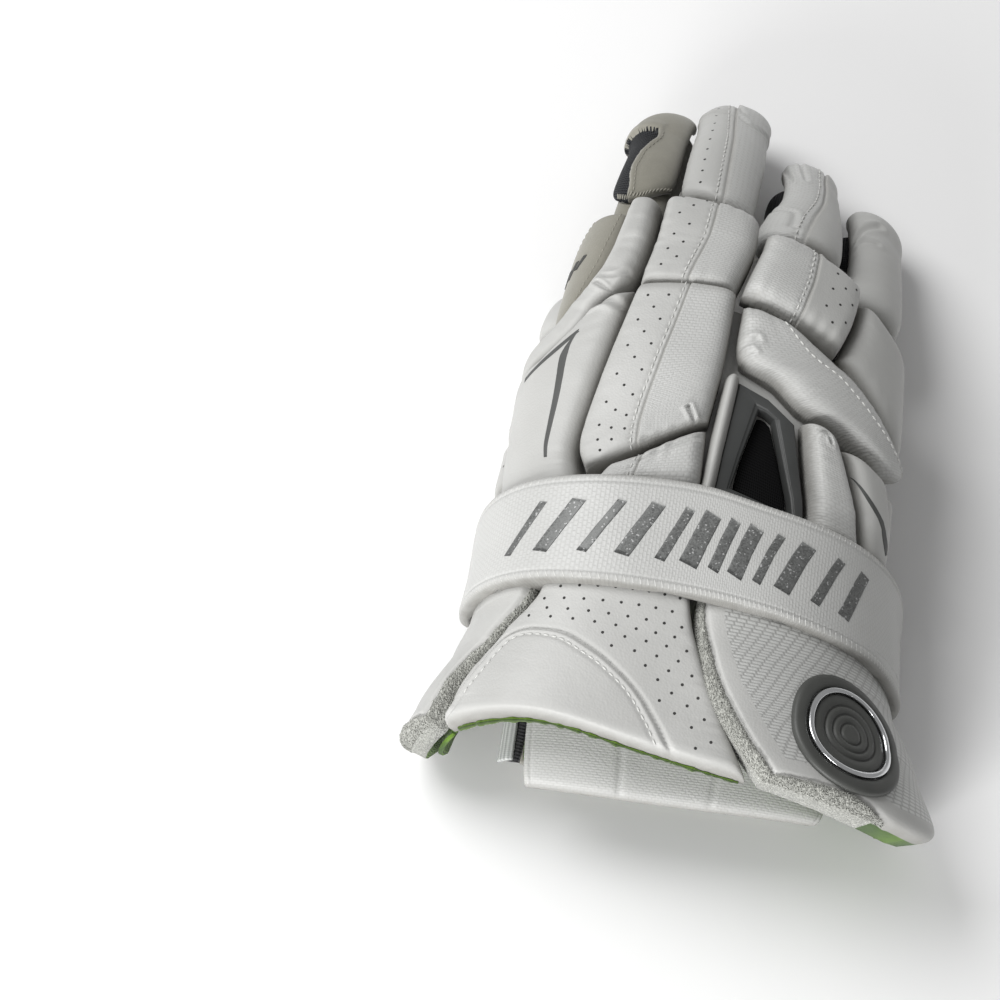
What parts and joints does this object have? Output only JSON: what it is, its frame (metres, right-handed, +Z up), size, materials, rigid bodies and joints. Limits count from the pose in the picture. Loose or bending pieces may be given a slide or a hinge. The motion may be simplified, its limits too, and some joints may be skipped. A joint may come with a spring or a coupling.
{
  "type": "lacrosse glove",
  "caption": "Padded right-hand lacrosse glove lying palm down, with foam pads on the back, a wrist strap, a flared three-piece cuff and a hollow hand, fingers and thumb.",
  "frame": {"origin": "middle of the glove's bounding box, on the floor it lies on", "axes": "+Y from the cuff to the fingertips, +X towards the little finger, +Z up out of the back of the hand"},
  "size_m": [0.2092, 0.3324, 0.091],
  "materials": {
    "leather_white": "smooth glossy coated leather",
    "leather_woven": "coated leather with a fine woven emboss",
    "suede_grey": "matt suede",
    "mesh_dark": "open mesh",
    "plastic_grey": "moulded, satin",
    "lining_green": "ribbed jersey",
    "elastic_black": "knitted elastic",
    "webbing_grey": "woven webbing",
    "rubber_dark": "moulded, satin",
    "chrome": "polished"
  },
  "bodies": {
    "root": {"hand_liner": "suede_grey", "index_stall": "suede_grey", "middle_stall": "mesh_dark", "ring_stall": "mesh_dark", "pinky_stall": "mesh_dark", "thumb_stall": "suede_grey", "middle_long_pad": "leather_white", "middle_wedge_pad": "leather_white", "middle_mid_roll": "leather_white", "ring_mid_roll": "leather_white", "ring_diagonal_pad": "leather_white", "ring_wedge_pad": "leather_white", "pinky_back_pad": "leather_white", "pinky_side_pad": "leather_white", "pinky_mid_pad": "leather_white", "index_knuckle_pad": "leather_white", "index_back_pad": "leather_white", "index_side_panel": "suede_grey", "vent_frame": "plastic_grey", "vent_mesh": "mesh_dark", "index_tip_cap": "suede_grey", "middle_tip_roll": "leather_white", "ring_tip_roll": "leather_white", "pinky_tip_roll": "leather_white", "thumb_base_pad": "leather_white", "thumb_side_pad": "leather_white", "thumb_mid_pad": "leather_white", "thumb_tip_roll": "leather_white", "cuff_middle": "leather_white", "cuff_middle_lining": "lining_green", "cuff_thumb_side": "leather_woven", "cuff_thumb_side_lining": "lining_green", "cuff_little_side": "leather_woven", "cuff_little_side_lining": "lining_green", "wrist_strap": "leather_woven", "wrist_band_top": "leather_woven", "wrist_band_under": "leather_woven", "wrist_elastic_thumb_side": "elastic_black", "wrist_elastic_little_side": "elastic_black", "webbing_tab": "webbing_grey", "badge_rim": "rubber_dark", "badge_ring": "chrome", "badge_disc": "rubber_dark"}
  },
  "joints": []
}
